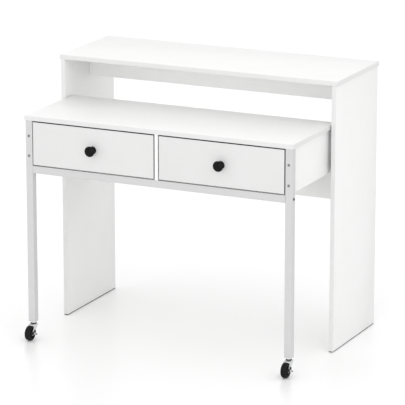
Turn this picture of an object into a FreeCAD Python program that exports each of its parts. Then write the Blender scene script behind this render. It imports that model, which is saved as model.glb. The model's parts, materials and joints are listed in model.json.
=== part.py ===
"""Pull-out manicure table: a fixed outer frame of laminated boards, and inside it a desk with two
drawers that rolls forward on two casters in front and two guide rollers behind.

Units are millimetres. +Z is up, +X is to the right and -Y is towards the person who sits at the table.
The origin is on the floor, in the middle of the table's footprint with the desk pulled out.
Each sub-part is built by a small function, kept in the table NODES under its name, and written to
parts/NAME.step at the end.
"""

import FreeCAD, Part
import math
import os

from FreeCAD import Vector

# ---------------------------------------------------------------- driving dimensions

# boards
BOARD = 15.0            # thickness of the main laminated boards
THIN_BOARD = 12.0       # thickness of the divider, the desk's back and the drawer boxes
DRAWER_BOTTOM = 3.0     # thickness of a drawer's hardboard bottom
EDGE_ROUND = 0.8        # radius left on a board's edges by its edge band

# fixed frame
FRAME_WIDTH = 1000.0    # over the two side panels
FRAME_DEPTH = 358.0
FRAME_HEIGHT = 911.0    # floor to the top of the shelf
SHELF_OVERHANG = 5.0    # of the shelf past each side panel
STRIP_HEIGHT = 2.8      # of the plastic strip under each side panel
STRIP_INSET = 0.5       # of the strip from the panel's faces and ends
STRIP_RIB = 2.6         # thickness of the strip's rib
STRIP_RIB_HEIGHT = 7.0
RAIL_SETBACK = 177.0    # from the frame's front to the front of both cross rails
UPPER_RAIL_HEIGHT = 87.5
LOWER_RAIL_BOTTOM = 471.0
LOWER_RAIL_HEIGHT = 112.0

# pull-out desk
DESK_OUT = 294.0        # how far the desk stands out in front of the frame
DESK_OVERLAP = 50.0     # how much of the desk stays in the frame then
DESK_TOP_Z = 765.0
DESK_TOP_HALF_WIDTH = 480.5
DESK_TOP_LIP = 2.0      # of the desk top in front of the drawer fronts
TUBE = 25.0             # square steel tube of the legs and the front rail
TUBE_WALL = 1.2
TUBE_CORNER = 2.5
LEG_CENTRE_X = 465.0
LEG_BOTTOM_Z = 62.0
RAIL_BOTTOM_Z = 573.0   # underside of the front rail
DESK_SIDE_BOTTOM_Z = 602.5
LEG_SCREW_Z = (631.0, 698.0)
LEG_SCREW_RADIUS = 2.0
RAIL_BOLT_RADIUS = 3.0
PLUG_SHEET = 1.6        # of the plug in a leg's foot that shows below the tube

# drawers
FRONT_GAP_LEG = 3.0     # between a drawer front and the leg beside it
FRONT_GAP_DIVIDER = 3.5
FRONT_GAP_BELOW = 4.0
FRONT_GAP_ABOVE = 4.5
SLIDE_SPACE = 12.5      # between a drawer box and the board beside it
BOX_BOTTOM_Z = 615.0
BOX_HEIGHT = 110.0
BOX_LENGTH = 298.0
DRAWER_TRAVEL = 190.0
GROOVE_DEPTH = 6.2      # of the groove that a drawer's bottom lies in
GROOVE_PLAY = 0.15      # round the bottom in its groove
KNOB_RADIUS = 17.5
KNOB_LENGTH = 30.0
KNOB_SCREW_RADIUS = 2.0

# casters
WHEEL_RADIUS = 25.0
WHEEL_WIDTH = 18.0
TYRE_INNER_RADIUS = 18.5
CASTER_OFFSET = 25.0    # from the swivel axis to the axle, towards the front
AXLE_RADIUS = 2.5
FORK_PLATE = 1.8
CHEEK_GAP = 1.2         # between the wheel and each cheek of the fork
CROWN_LOW_Z = 49.6      # underside of the fork's crown
BEARING_GAP = 0.2       # between the crown and what stands over it
STEM_RADIUS = 4.0
STEM_TOP_Z = 85.0
COVER_RADIUS = 10.0     # of the black cover over the swivel bearing
COVER_TOP_Z = 56.2
BRAKE_SHEET = 1.6
BRAKE_REACH = 19.2      # of the brake lever's tab from the middle of the wheel

# guide rollers behind, and the channels that they run in
ROLLER_RADIUS = 10.2
ROLLER_Z = 625.0
ROLLER_SETBACK = 16.0   # from the desk's back edge to the roller's axis
PIN_RADIUS = 3.5        # of the roller's pin where it is pressed into the desk's side
PIN_DEPTH = 10.9        # of the pin in the desk's side
CHANNEL_INNER_HEIGHT = 21.0
CHANNEL_DEPTH = 6.5
CHANNEL_SHEET = 1.2

# fasteners
SCREW_HEAD_RADIUS = 3.6  # of a countersunk wood screw
SCREW_RADIUS = 1.75
CAM_RADIUS = 7.4
DRAWER_CAM_RADIUS = 5.0
CAM_FLOOR = 2.0         # of board left under a cam
CAM_FROM_EDGE = 34.0    # from the board's edge to the cam's axis, in the frame
SHORT_CAM_FROM_EDGE = 24.0  # the same in the desk and the drawers
DOWEL_RADIUS = 4.0
DOWEL_LENGTH = 24.0
CLEARANCE = 0.1         # left round a fastener in its hole

# ---------------------------------------------------------------- places worked out from them

WHEEL_REACH = DESK_OUT - TUBE / 2 + CASTER_OFFSET + WHEEL_RADIUS
FRAME_FRONT = (WHEEL_REACH - FRAME_DEPTH) / 2
FRAME_BACK = FRAME_FRONT + FRAME_DEPTH
FRAME_INSIDE = FRAME_WIDTH / 2 - BOARD
SHELF_BOTTOM_Z = FRAME_HEIGHT - BOARD
RAIL_FRONT = FRAME_FRONT + RAIL_SETBACK
UPPER_RAIL_Z = SHELF_BOTTOM_Z - UPPER_RAIL_HEIGHT / 2
LOWER_RAIL_Z = LOWER_RAIL_BOTTOM + LOWER_RAIL_HEIGHT / 2

CHANNEL_WEB_X = FRAME_INSIDE - CHANNEL_SHEET    # inner face of a guide channel's web

DESK_FRONT = FRAME_FRONT - DESK_OUT
DESK_BACK = FRAME_FRONT + DESK_OVERLAP
DESK_UNDER_Z = DESK_TOP_Z - BOARD
LEG_IN = LEG_CENTRE_X - TUBE / 2
LEG_CENTRE_Y = DESK_FRONT + TUBE / 2
LEG_BACK = DESK_FRONT + TUBE
SIDE_IN = LEG_CENTRE_X - BOARD / 2
SIDE_OUT = LEG_CENTRE_X + BOARD / 2
DIVIDER_HALF = THIN_BOARD / 2
RAIL_TOP_Z = RAIL_BOTTOM_Z + TUBE

FRONT_BOTTOM_Z = RAIL_TOP_Z + FRONT_GAP_BELOW
FRONT_TOP_Z = DESK_UNDER_Z - FRONT_GAP_ABOVE
FRONT_BACK = DESK_FRONT + BOARD
BOX_IN = DIVIDER_HALF + SLIDE_SPACE
BOX_OUT = SIDE_IN - SLIDE_SPACE
BOX_BACK = FRONT_BACK + BOX_LENGTH
SLIDE_Z = BOX_BOTTOM_Z + BOX_HEIGHT / 2
KNOB_X = (DIVIDER_HALF + FRONT_GAP_DIVIDER + LEG_IN - FRONT_GAP_LEG) / 2
KNOB_Z = (FRONT_BOTTOM_Z + FRONT_TOP_Z) / 2
ROLLER_Y = DESK_BACK - ROLLER_SETBACK

AXLE_Y = LEG_CENTRE_Y - CASTER_OFFSET
CHEEK_IN = WHEEL_WIDTH / 2 + CHEEK_GAP
CHEEK_OUT = CHEEK_IN + FORK_PLATE
CROWN_TOP_Z = CROWN_LOW_Z + 2.0

X_AXIS = Vector(1, 0, 0)
Y_AXIS = Vector(0, 1, 0)
Z_AXIS = Vector(0, 0, 1)
SIDES = (("left", -1), ("right", 1))
SIGNS = (-1, 1)
NODES = {}


# ---------------------------------------------------------------- building blocks


def block(x, y, z):
    """A box between two limits on each axis, given in any order."""
    low = Vector(min(x), min(y), min(z))
    high = Vector(max(x), max(y), max(z))
    size = high - low
    return Part.makeBox(size.x, size.y, size.z, low)


def board(x, y, z):
    """A laminated board: a box whose edges are slightly rounded."""
    raw = block(x, y, z)
    return raw.makeFillet(EDGE_ROUND, raw.Edges)


def rod(radius, start, direction, length):
    """A round bar from start along direction."""
    return Part.makeCylinder(radius, length, start, direction)


def turned(points, start, direction):
    """A solid of revolution: points are (distance along direction, radius), from the axis round to it."""
    side = X_AXIS if abs(direction.dot(X_AXIS)) < 0.5 else Z_AXIS
    spots = [start + direction * along + side * radius for along, radius in points]
    outline = Part.makePolygon(spots + spots[:1])
    return Part.Face(outline).revolve(start, direction, 360)


def mirrored(shape):
    """The same shape on the other side of the table."""
    return shape.mirror(Vector(0, 0, 0), X_AXIS)


def on_side(shape, sign):
    """A shape built for the right-hand side, moved to the side that sign names."""
    return shape if sign > 0 else mirrored(shape)


def both(shape):
    """A shape built for the right-hand side, with its mirror image."""
    return [shape, mirrored(shape)]


def group(shapes):
    """Separate solids that share one node."""
    return Part.makeCompound(shapes)


def edges_along(shape, axis):
    """The straight edges of a shape that run along an axis."""
    return [e for e in shape.Edges if abs(e.tangentAt(e.FirstParameter).dot(axis)) > 0.9]


def square_tube(x, y, z, along):
    """A square steel tube with rounded corners, hollow along one axis."""
    raw = block(x, y, z)
    outer = raw.makeFillet(TUBE_CORNER, edges_along(raw, along))
    shrink = [0.0 if abs(along.dot(a)) > 0.9 else TUBE_WALL for a in (X_AXIS, Y_AXIS, Z_AXIS)]
    limits = [(min(limit) + wall, max(limit) - wall) for limit, wall in zip((x, y, z), shrink)]
    inner = block(*limits)
    return outer.cut(inner.makeFillet(TUBE_CORNER - TUBE_WALL, edges_along(inner, along)))


def flat_screw(head, direction, length, extra=0.0):
    """A countersunk wood screw, its head flush at the point head; extra is added to both its radii."""
    head_radius = SCREW_HEAD_RADIUS + extra
    shank_radius = SCREW_RADIUS + extra
    cone_end = head_radius - shank_radius
    tip_start = length - shank_radius
    outline = [(0, 0), (0, head_radius), (cone_end, shank_radius), (tip_start, shank_radius), (length, 0)]
    return turned(outline, head, direction)


def flat_screw_hole(head, direction, length):
    """What a board or sheet loses to a flat_screw of the same place and length."""
    return flat_screw(head, direction, length + CLEARANCE, CLEARANCE)


def button_screw(under_head, direction, length, head_radius, head_height, shank_radius):
    """A screw with a low round head; under_head is the face that the head bears on."""
    top = 0.6 * head_radius
    outline = [(-head_height, 0), (-head_height, top), (-0.4 * head_height, head_radius), (0, head_radius)]
    outline += [(0, shank_radius), (length, shank_radius), (length, 0)]
    socket = 0.45 * head_radius
    key = rod(socket, under_head - direction * head_height, direction, 0.6 * head_height)
    return turned(outline, under_head, direction).cut(key)


class CamFitting:
    """A furniture cam, the bolt that it pulls on, and the holes for both.

    edge is the point where the bolt leaves the drilled board through its edge, out is the way that the
    bolt leaves, and face is the way from inside the drilled board to the face that the cam shows in.
    """

    SUNK = 0.2              # of the cam under the board's face
    BOLT_RADIUS = 3.0
    BOLT_PLAY = 0.7         # round the bolt in its hole
    HEAD_FROM_CAM_AXIS = 2.0
    HEAD_LENGTH = 2.0
    COLLAR_LENGTH = 8.0
    THREAD_RADIUS = 3.5
    THREAD_LENGTH = 11.0
    CROSS_HALF_WIDTH = 0.6
    CROSS_DEPTH = 1.5
    COVER_RIM = 1.3         # of the cover cap past the cam hole
    COVER_HEIGHT = 0.9

    def __init__(self, edge, out, face, thickness, cam_from_edge=CAM_FROM_EDGE, radius=CAM_RADIUS):
        self.edge = edge
        self.out = out
        self.face = face
        self.radius = radius
        self.axis_point = edge - out * cam_from_edge
        self.mouth = self.axis_point + face * (thickness / 2)
        depth = thickness - CAM_FLOOR
        thread_depth = self.THREAD_LENGTH + CLEARANCE
        self.cam_hole = rod(radius + CLEARANCE, self.mouth, -face, depth)
        self.bolt_hole = rod(self.BOLT_RADIUS + self.BOLT_PLAY, self.axis_point, out, cam_from_edge)
        self.thread_hole = rod(self.THREAD_RADIUS + CLEARANCE, edge, out, thread_depth)
        self.cam = self.make_cam(depth - 2 * self.SUNK)
        self.bolt = self.make_bolt(cam_from_edge - self.HEAD_FROM_CAM_AXIS)
        self.cover = self.make_cover()

    def make_cam(self, height):
        """The cam, with the slot that takes the bolt's head and a cross for the screwdriver."""
        arm = 0.6 * self.radius
        cam = rod(self.radius, self.mouth - self.face * self.SUNK, -self.face, height)
        slot = rod(self.BOLT_RADIUS + 0.5, self.axis_point - self.out * arm, self.out, 2 * self.radius)
        narrow = (-self.CROSS_HALF_WIDTH, self.CROSS_HALF_WIDTH)
        wide = (-arm, arm)
        deep = (-self.CROSS_DEPTH, self.CROSS_DEPTH)
        cross = block(wide, narrow, deep).fuse(block(narrow, wide, deep))
        cross.Placement = FreeCAD.Placement(self.mouth, FreeCAD.Rotation(Z_AXIS, self.face))
        return cam.cut(slot).cut(cross)

    def make_bolt(self, reach):
        """The bolt: its head in the cam, a thin shank, a collar at the board's edge and a thread."""
        start = self.edge - self.out * reach
        shank = rod(self.BOLT_RADIUS - 1.0, start, self.out, reach)
        head = rod(self.BOLT_RADIUS, start, self.out, self.HEAD_LENGTH)
        collar_start = self.edge - self.out * self.COLLAR_LENGTH
        collar = rod(self.BOLT_RADIUS, collar_start, self.out, self.COLLAR_LENGTH)
        thread = rod(self.THREAD_RADIUS, self.edge, self.out, self.THREAD_LENGTH)
        return shank.multiFuse([head, collar, thread]).removeSplitter()

    def make_cover(self):
        """The flat cap that hides the cam."""
        cap = rod(self.radius + self.COVER_RIM, self.mouth, self.face, self.COVER_HEIGHT)
        outer_rim = [e for e in cap.Edges if e.CenterOfMass.distanceToPoint(self.mouth) > 0.5]
        return cap.makeFillet(0.5, outer_rim)


# ---------------------------------------------------------------- fixed frame


def frame_cam_fittings():
    """The fittings that hold the frame, for both sides, as (kind, side sign, fitting)."""
    fittings = []
    for sign in SIGNS:
        outward = X_AXIS * sign
        panel_x = sign * (FRAME_INSIDE + BOARD / 2)
        for y in (FRAME_FRONT + 60, FRAME_BACK - 60):
            edge = Vector(panel_x, y, SHELF_BOTTOM_Z)
            fittings.append(("shelf", sign, CamFitting(edge, Z_AXIS, -outward, BOARD)))
        end = Vector(sign * FRAME_INSIDE, RAIL_FRONT + BOARD / 2, 0)
        edge = end + Z_AXIS * UPPER_RAIL_Z
        fittings.append(("upper", sign, CamFitting(edge, outward, Y_AXIS, BOARD)))
        for offset in (-25, 25):
            edge = end + Z_AXIS * (LOWER_RAIL_Z + offset)
            fittings.append(("lower", sign, CamFitting(edge, outward, Y_AXIS, BOARD)))
    return fittings


def frame_dowels():
    """Wooden dowels beside the cams, as (kind, side sign, dowel, hole)."""
    in_first_board = 14.0
    places = []
    for sign in SIGNS:
        panel_x = sign * (FRAME_INSIDE + BOARD / 2)
        for y in (FRAME_FRONT + 28, FRAME_BACK - 28):
            places.append(("shelf", sign, Vector(panel_x, y, SHELF_BOTTOM_Z - in_first_board), Z_AXIS))
        start = Vector(sign * (FRAME_INSIDE - in_first_board), RAIL_FRONT + BOARD / 2, 0)
        for offset in (-28, 28):
            places.append(("upper", sign, start + Z_AXIS * (UPPER_RAIL_Z + offset), X_AXIS * sign))
        places.append(("lower", sign, start + Z_AXIS * LOWER_RAIL_Z, X_AXIS * sign))
    made = []
    for kind, sign, start, direction in places:
        plain = rod(DOWEL_RADIUS - CLEARANCE, start + direction * 0.5, direction, DOWEL_LENGTH - 1)
        ends = [e for e in plain.Edges if len(e.Vertexes) == 1]
        dowel = plain.makeChamfer(0.8, ends)
        made.append((kind, sign, dowel, rod(DOWEL_RADIUS, start, direction, DOWEL_LENGTH)))
    return made


def on_sign(screw, sign):
    """A screw's (head, direction, length), stated for the right-hand side, on the side that sign names."""
    head, direction, length = screw
    return Vector(sign * head.x, head.y, head.z), Vector(sign * direction.x, direction.y, direction.z), length


def channel_screws():
    """The screws through the right-hand guide channel's web, as (head, direction, length)."""
    front = ROLLER_Y - ROLLER_RADIUS
    run = DESK_OUT + 2 * ROLLER_RADIUS
    places = [front + share * run for share in (0.12, 0.5, 0.88)]
    return [(Vector(CHANNEL_WEB_X, y, ROLLER_Z), X_AXIS, 13.0) for y in places]


def build_frame():
    """The shelf, the two side panels, the two cross rails, and what joins them."""
    fittings = frame_cam_fittings()
    dowels = frame_dowels()
    half = FRAME_WIDTH / 2 + SHELF_OVERHANG
    depth = (FRAME_FRONT, FRAME_BACK)
    shelf = board((-half, half), depth, (SHELF_BOTTOM_Z, FRAME_HEIGHT))
    rail_y = (RAIL_FRONT, RAIL_FRONT + BOARD)
    rail_x = (-FRAME_INSIDE, FRAME_INSIDE)
    rails = {
        "upper": board(rail_x, rail_y, (SHELF_BOTTOM_Z - UPPER_RAIL_HEIGHT, SHELF_BOTTOM_Z)),
        "lower": board(rail_x, rail_y, (LOWER_RAIL_BOTTOM, LOWER_RAIL_BOTTOM + LOWER_RAIL_HEIGHT)),
    }
    panel = board((FRAME_INSIDE, FRAME_WIDTH / 2), depth, (STRIP_HEIGHT, SHELF_BOTTOM_Z))
    panel = panel.cut(strip_rib(CLEARANCE))
    panels = {sign: on_side(panel, sign) for sign in SIGNS}

    for kind, sign, fitting in fittings:
        drilled = [fitting.cam_hole, fitting.bolt_hole]
        if kind == "shelf":
            panels[sign] = panels[sign].cut(drilled)
            shelf = shelf.cut(fitting.thread_hole)
        else:
            panels[sign] = panels[sign].cut(fitting.thread_hole)
            rails[kind] = rails[kind].cut(drilled)
    for kind, sign, dowel, hole in dowels:
        panels[sign] = panels[sign].cut(hole)
        if kind == "shelf":
            shelf = shelf.cut(hole)
        else:
            rails[kind] = rails[kind].cut(hole)

    for side, sign in SIDES:
        holes = [flat_screw_hole(*on_sign(screw, sign)) for screw in channel_screws()]
        NODES[f"side_panel_{side}"] = panels[sign].cut(holes)
    NODES["top_shelf"] = shelf
    NODES["upper_rail"] = rails["upper"]
    NODES["lower_rail"] = rails["lower"]
    NODES["cam_locks"] = group([fitting.cam for kind, sign, fitting in fittings])
    NODES["cam_bolts"] = group([fitting.bolt for kind, sign, fitting in fittings])
    NODES["cam_covers"] = group([fitting.cover for kind, sign, fitting in fittings])
    NODES["frame_dowels"] = group([dowel for kind, sign, dowel, hole in dowels])


def strip_rib(extra=0.0):
    """The rib of the right-hand base strip; with extra on every side it is the groove for it."""
    middle = FRAME_INSIDE + BOARD / 2
    half = STRIP_RIB / 2 + extra
    from_end = 12.0 - extra
    return block(
        (middle - half, middle + half),
        (FRAME_FRONT + from_end, FRAME_BACK - from_end),
        (STRIP_HEIGHT - 1, STRIP_HEIGHT + STRIP_RIB_HEIGHT + extra),
    )


def build_base_strips():
    """A plastic strip along each side panel's lower edge, with a rib pressed into the panel's groove."""
    sole = block(
        (FRAME_INSIDE + STRIP_INSET, FRAME_WIDTH / 2 - STRIP_INSET),
        (FRAME_FRONT + STRIP_INSET, FRAME_BACK - STRIP_INSET),
        (0, STRIP_HEIGHT),
    )
    lower = [e for e in sole.Edges if e.CenterOfMass.z < 0.01]
    sole = sole.makeFillet(EDGE_ROUND, lower)
    NODES["base_strips"] = group(both(sole.fuse(strip_rib()).removeSplitter()))


def build_guide_channels():
    """A steel C channel on each side panel, closed at both ends, in which a roller of the desk runs."""
    gap = 0.3
    front = ROLLER_Y - ROLLER_RADIUS - gap
    back = ROLLER_Y + DESK_OUT + ROLLER_RADIUS + gap
    half = CHANNEL_INNER_HEIGHT / 2
    x = (FRAME_INSIDE - CHANNEL_DEPTH, FRAME_INSIDE)
    outer = block(
        x,
        (front - CHANNEL_SHEET, back + CHANNEL_SHEET),
        (ROLLER_Z - half - CHANNEL_SHEET, ROLLER_Z + half + CHANNEL_SHEET),
    )
    inner = block((x[0] - 1, CHANNEL_WEB_X), (front, back), (ROLLER_Z - half, ROLLER_Z + half))
    channel = outer.cut(inner).cut([flat_screw_hole(*screw) for screw in channel_screws()])
    screws = []
    for screw in channel_screws():
        screws += both(flat_screw(*screw))
    for side, sign in SIDES:
        NODES[f"guide_channel_{side}"] = on_side(channel, sign)
    NODES["guide_channel_screws"] = group(screws)


# ---------------------------------------------------------------- pull-out desk


def desk_cam_fittings():
    """The fittings that hold the desk's sides to its top and its back, as (kind, side sign, fitting)."""
    fittings = []
    for sign in SIGNS:
        inward = X_AXIS * -sign
        for y in (LEG_BACK + 45, DESK_BACK - 95):
            edge = Vector(sign * LEG_CENTRE_X, y, DESK_UNDER_Z)
            fittings.append(("top", sign, CamFitting(edge, Z_AXIS, inward, BOARD, SHORT_CAM_FROM_EDGE)))
        edge = Vector(sign * SIDE_IN, DESK_BACK - THIN_BOARD / 2, KNOB_Z + 30)
        outward = X_AXIS * sign
        fittings.append(("back", sign, CamFitting(edge, outward, Y_AXIS, THIN_BOARD, SHORT_CAM_FROM_EDGE)))
    return fittings


def divider_screws():
    """The two screws that hold the divider, through the desk's back, as (head, direction, length)."""
    return [(Vector(0, DESK_BACK, z), -Y_AXIS, 40.0) for z in (KNOB_Z - 40, KNOB_Z + 40)]


def slide_channel_screws():
    """The screws in the right-hand drawer's two cabinet channels: first the outer channel, then the inner.

    Those in the divider stand further back on the right, so that they miss the left-hand drawer's.
    """
    outer, inner = [], {}
    for y in (40.0, 240.0):
        head = Vector(SIDE_IN - SlideSection.SHEET, FRONT_BACK + y, SLIDE_Z)
        outer.append((head, X_AXIS, 10.0))
    for sign in SIGNS:
        inner[sign] = []
        for y in (40.0, 240.0):
            head = Vector(DIVIDER_HALF + SlideSection.SHEET, FRONT_BACK + y + 14 * sign, SLIDE_Z)
            inner[sign].append((head, -X_AXIS, 9.0))
    return outer, inner


def build_desk_boards():
    """The desk's top, sides, divider and back, with all their holes; returns their bolts and screws."""
    fittings = desk_cam_fittings()
    top = board(
        (-DESK_TOP_HALF_WIDTH, DESK_TOP_HALF_WIDTH),
        (DESK_FRONT - DESK_TOP_LIP, DESK_BACK),
        (DESK_UNDER_Z, DESK_TOP_Z),
    )
    side_z = (DESK_SIDE_BOTTOM_Z, DESK_UNDER_Z)
    side_board = board((SIDE_IN, SIDE_OUT), (LEG_BACK, DESK_BACK), side_z)
    sides = {sign: on_side(side_board, sign) for sign in SIGNS}
    back = board((-SIDE_IN, SIDE_IN), (DESK_BACK - THIN_BOARD, DESK_BACK), side_z)
    divider = board(
        (-DIVIDER_HALF, DIVIDER_HALF),
        (DESK_FRONT, DESK_BACK - THIN_BOARD),
        (RAIL_TOP_Z, DESK_UNDER_Z),
    )
    notch = block(
        (-DIVIDER_HALF - 1, DIVIDER_HALF + 1),
        (LEG_BACK, DESK_BACK),
        (RAIL_TOP_Z - 1, DESK_SIDE_BOTTOM_Z),
    )
    divider = divider.cut(notch)

    for kind, sign, fitting in fittings:
        drilled = [fitting.cam_hole, fitting.bolt_hole]
        if kind == "top":
            sides[sign] = sides[sign].cut(drilled)
            top = top.cut(fitting.thread_hole)
        else:
            back = back.cut(drilled)
            sides[sign] = sides[sign].cut(fitting.thread_hole)
    screws = []
    for head, direction, length in divider_screws():
        hole = flat_screw_hole(head, direction, length)
        back = back.cut(hole)
        divider = divider.cut(hole)
        screws.append(flat_screw(head, direction, length))
    outer, inner = slide_channel_screws()
    for side, sign in SIDES:
        leg_line = Vector(sign * LEG_CENTRE_X, LEG_BACK, 0)
        holes = [rod(LEG_SCREW_RADIUS + CLEARANCE, leg_line + Z_AXIS * z, Y_AXIS, 30.0) for z in LEG_SCREW_Z]
        pin_bottom = Vector(sign * (SIDE_OUT - PIN_DEPTH - CLEARANCE), ROLLER_Y, ROLLER_Z)
        holes.append(rod(PIN_RADIUS + CLEARANCE, pin_bottom, X_AXIS * sign, BOARD))
        holes += [flat_screw_hole(*on_sign(screw, sign)) for screw in outer]
        NODES[f"desk_side_{side}"] = sides[sign].cut(holes)
        divider = divider.cut([flat_screw_hole(*on_sign(screw, sign)) for screw in inner[sign]])
    NODES["desk_top"] = top
    NODES["desk_back"] = back
    NODES["desk_divider"] = divider
    NODES["desk_cam_locks"] = group([fitting.cam for kind, sign, fitting in fittings])
    return [fitting.bolt for kind, sign, fitting in fittings] + screws


def build_legs():
    """The two square legs, the front rail and their screws; returns the nuts in the rail's ends."""
    leg = square_tube(
        (LEG_IN, LEG_IN + TUBE), (DESK_FRONT, LEG_BACK), (LEG_BOTTOM_Z, DESK_UNDER_Z), Z_AXIS
    )
    screws = []
    for z in LEG_SCREW_Z:
        face = Vector(LEG_CENTRE_X, DESK_FRONT, z)
        leg = leg.cut(rod(LEG_SCREW_RADIUS + CLEARANCE, face, Y_AXIS, TUBE))
        screws += both(button_screw(face, Y_AXIS, TUBE + 28.0, 4.2, 2.4, LEG_SCREW_RADIUS))
    outside = Vector(LEG_CENTRE_X + TUBE / 2, LEG_CENTRE_Y, RAIL_BOTTOM_Z + TUBE / 2)
    leg = leg.cut(rod(RAIL_BOLT_RADIUS + CLEARANCE, outside, -X_AXIS, TUBE))
    bolt = button_screw(outside, -X_AXIS, TUBE + 14.0, 4.6, 2.2, RAIL_BOLT_RADIUS)
    rail = square_tube(
        (-LEG_IN, LEG_IN), (DESK_FRONT, LEG_BACK), (RAIL_BOTTOM_Z, RAIL_TOP_Z), X_AXIS
    )
    end = tube_filling(Vector(LEG_IN - 12.0, outside.y, outside.z), X_AXIS, 11.5)
    end_nut = end.cut(rod(RAIL_BOLT_RADIUS + CLEARANCE, outside, -X_AXIS, TUBE + 16))

    for side, sign in SIDES:
        NODES[f"leg_{side}"] = on_side(leg, sign)
    NODES["front_rail"] = rail
    NODES["leg_screws"] = group(screws)
    NODES["rail_bolts"] = group(both(bolt))
    return both(end_nut)


def square_bar(start, direction, length, half, corner):
    """A square bar with rounded corners, upright or along X, from the point start on its axis."""
    if direction == Z_AXIS:
        low = start - X_AXIS * half - Y_AXIS * half
        size = (2 * half, 2 * half, length)
    else:
        low = start - Y_AXIS * half - Z_AXIS * half
        size = (length, 2 * half, 2 * half)
    raw = Part.makeBox(*size, low)
    return raw.makeFillet(corner, edges_along(raw, direction))


def tube_filling(start, direction, length):
    """A square bar that slips into the steel tube."""
    half = TUBE / 2 - TUBE_WALL - 0.15
    return square_bar(start, direction, length, half, TUBE_CORNER - TUBE_WALL - 0.2)


def build_leg_plugs():
    """A plastic plug in the foot of each leg, with a round collar below, bored for the caster's stem."""
    foot = Vector(LEG_CENTRE_X, LEG_CENTRE_Y, LEG_BOTTOM_Z)
    body = tube_filling(foot, Z_AXIS, 26.0)
    flange = square_bar(foot - Z_AXIS * PLUG_SHEET, Z_AXIS, PLUG_SHEET, TUBE / 2, TUBE_CORNER)
    collar_low = Vector(foot.x, foot.y, COVER_TOP_Z + 0.4)
    collar = rod(8.5, collar_low, Z_AXIS, LEG_BOTTOM_Z - collar_low.z)
    plug = body.multiFuse([flange, collar]).removeSplitter()
    plug = plug.cut(rod(STEM_RADIUS + CLEARANCE, collar_low - Z_AXIS, Z_AXIS, 40))
    NODES["leg_plugs"] = group(both(plug))


def build_guide_rollers():
    """The nylon roller on each side of the desk's back end, and the pin that it turns on."""
    surface = Vector(SIDE_OUT, ROLLER_Y, ROLLER_Z)
    spacer_end, shoulder_end, journal_end, head_end = 4.1, 6.2, 8.7, 9.9
    spacer, shoulder, journal, head = 6.0, 5.0, 3.0, 5.0
    pin_outline = [
        (-PIN_DEPTH, 0), (-PIN_DEPTH, PIN_RADIUS), (0, PIN_RADIUS),
        (0, spacer), (spacer_end, spacer),
        (spacer_end, shoulder), (shoulder_end, shoulder),
        (shoulder_end, journal), (journal_end, journal),
        (journal_end, head), (head_end, head), (head_end, 0),
    ]
    bore, recess, edge = journal + 0.05, head + 0.4, 0.5
    roller_start, web_end, roller_end = 6.4, 8.5, 10.4
    roller_outline = [
        (roller_start, bore), (roller_start, ROLLER_RADIUS - 1.6), (roller_start + edge, ROLLER_RADIUS),
        (roller_end - edge, ROLLER_RADIUS), (roller_end, ROLLER_RADIUS - 0.6),
        (roller_end, recess), (web_end, recess), (web_end, bore),
    ]
    NODES["guide_rollers"] = group(both(turned(roller_outline, surface, X_AXIS)))
    NODES["roller_pins"] = group(both(turned(pin_outline, surface, X_AXIS)))


# ---------------------------------------------------------------- drawers and their slides


class SlideSection:
    """Cross-section of a drawer slide: a channel on the cabinet, a bar on the drawer, balls between them.

    Distances are from the cabinet board's face towards the drawer, and up and down from the slide's middle.
    """

    SHEET = 1.2
    HALF_HEIGHT = 18.0
    CHANNEL_DEPTH = 11.5
    BAR_HALF_HEIGHT = 12.2
    BAR_DEPTH = 6.5
    BALL_RADIUS = 2.2
    BALLS = 7
    BALL_FROM_WEB = 5.9
    BALL_FROM_END = 6.0
    CAGE_SHEET = 1.0
    CAGE_FROM_CABINET = 2.3
    CAGE_DEPTH = 8.2
    CAGE_LENGTH = 84.0


def c_profile(x_web, x_lip, y, half_height, sheet):
    """A sheet channel: a web at x_web and a flange above and below reaching to x_lip."""
    towards = 1 if x_lip > x_web else -1
    clear = half_height - sheet
    outer = block((x_web, x_lip), y, (SLIDE_Z - half_height, SLIDE_Z + half_height))
    inner_x = (x_web + towards * sheet, x_lip + towards)
    return outer.cut(block(inner_x, (min(y) - 1, max(y) + 1), (SLIDE_Z - clear, SLIDE_Z + clear)))


def slide_parts(cabinet_x, drawer_x):
    """The channel, the bar and the ball cage of one slide."""
    s = SlideSection
    towards = 1 if drawer_x > cabinet_x else -1
    channel_y = (LEG_BACK + 1, BOX_BACK - 4)
    bar_y = (FRONT_BACK + 1, BOX_BACK - 8)
    channel_lip = cabinet_x + towards * s.CHANNEL_DEPTH
    channel = c_profile(cabinet_x, channel_lip, channel_y, s.HALF_HEIGHT, s.SHEET)
    bar = c_profile(drawer_x, drawer_x - towards * s.BAR_DEPTH, bar_y, s.BAR_HALF_HEIGHT, s.SHEET)

    cage_front = LEG_BACK + 5 + DRAWER_TRAVEL / 2
    ball_z = (s.BAR_HALF_HEIGHT + s.HALF_HEIGHT - s.SHEET) / 2
    web_x = cabinet_x + towards * s.CAGE_FROM_CABINET
    cage = c_profile(
        web_x,
        web_x + towards * s.CAGE_DEPTH,
        (cage_front, cage_front + s.CAGE_LENGTH),
        ball_z + s.CAGE_SHEET / 2,
        s.CAGE_SHEET,
    )
    ball_x = web_x + towards * s.BALL_FROM_WEB
    pitch = (s.CAGE_LENGTH - 2 * s.BALL_FROM_END) / (s.BALLS - 1)
    for number in range(s.BALLS):
        y = cage_front + s.BALL_FROM_END + number * pitch
        for up in (-1, 1):
            centre = Vector(ball_x, y, SLIDE_Z + up * ball_z)
            cage = cage.fuse(Part.makeSphere(s.BALL_RADIUS, centre))
    return channel, bar, cage


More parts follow.
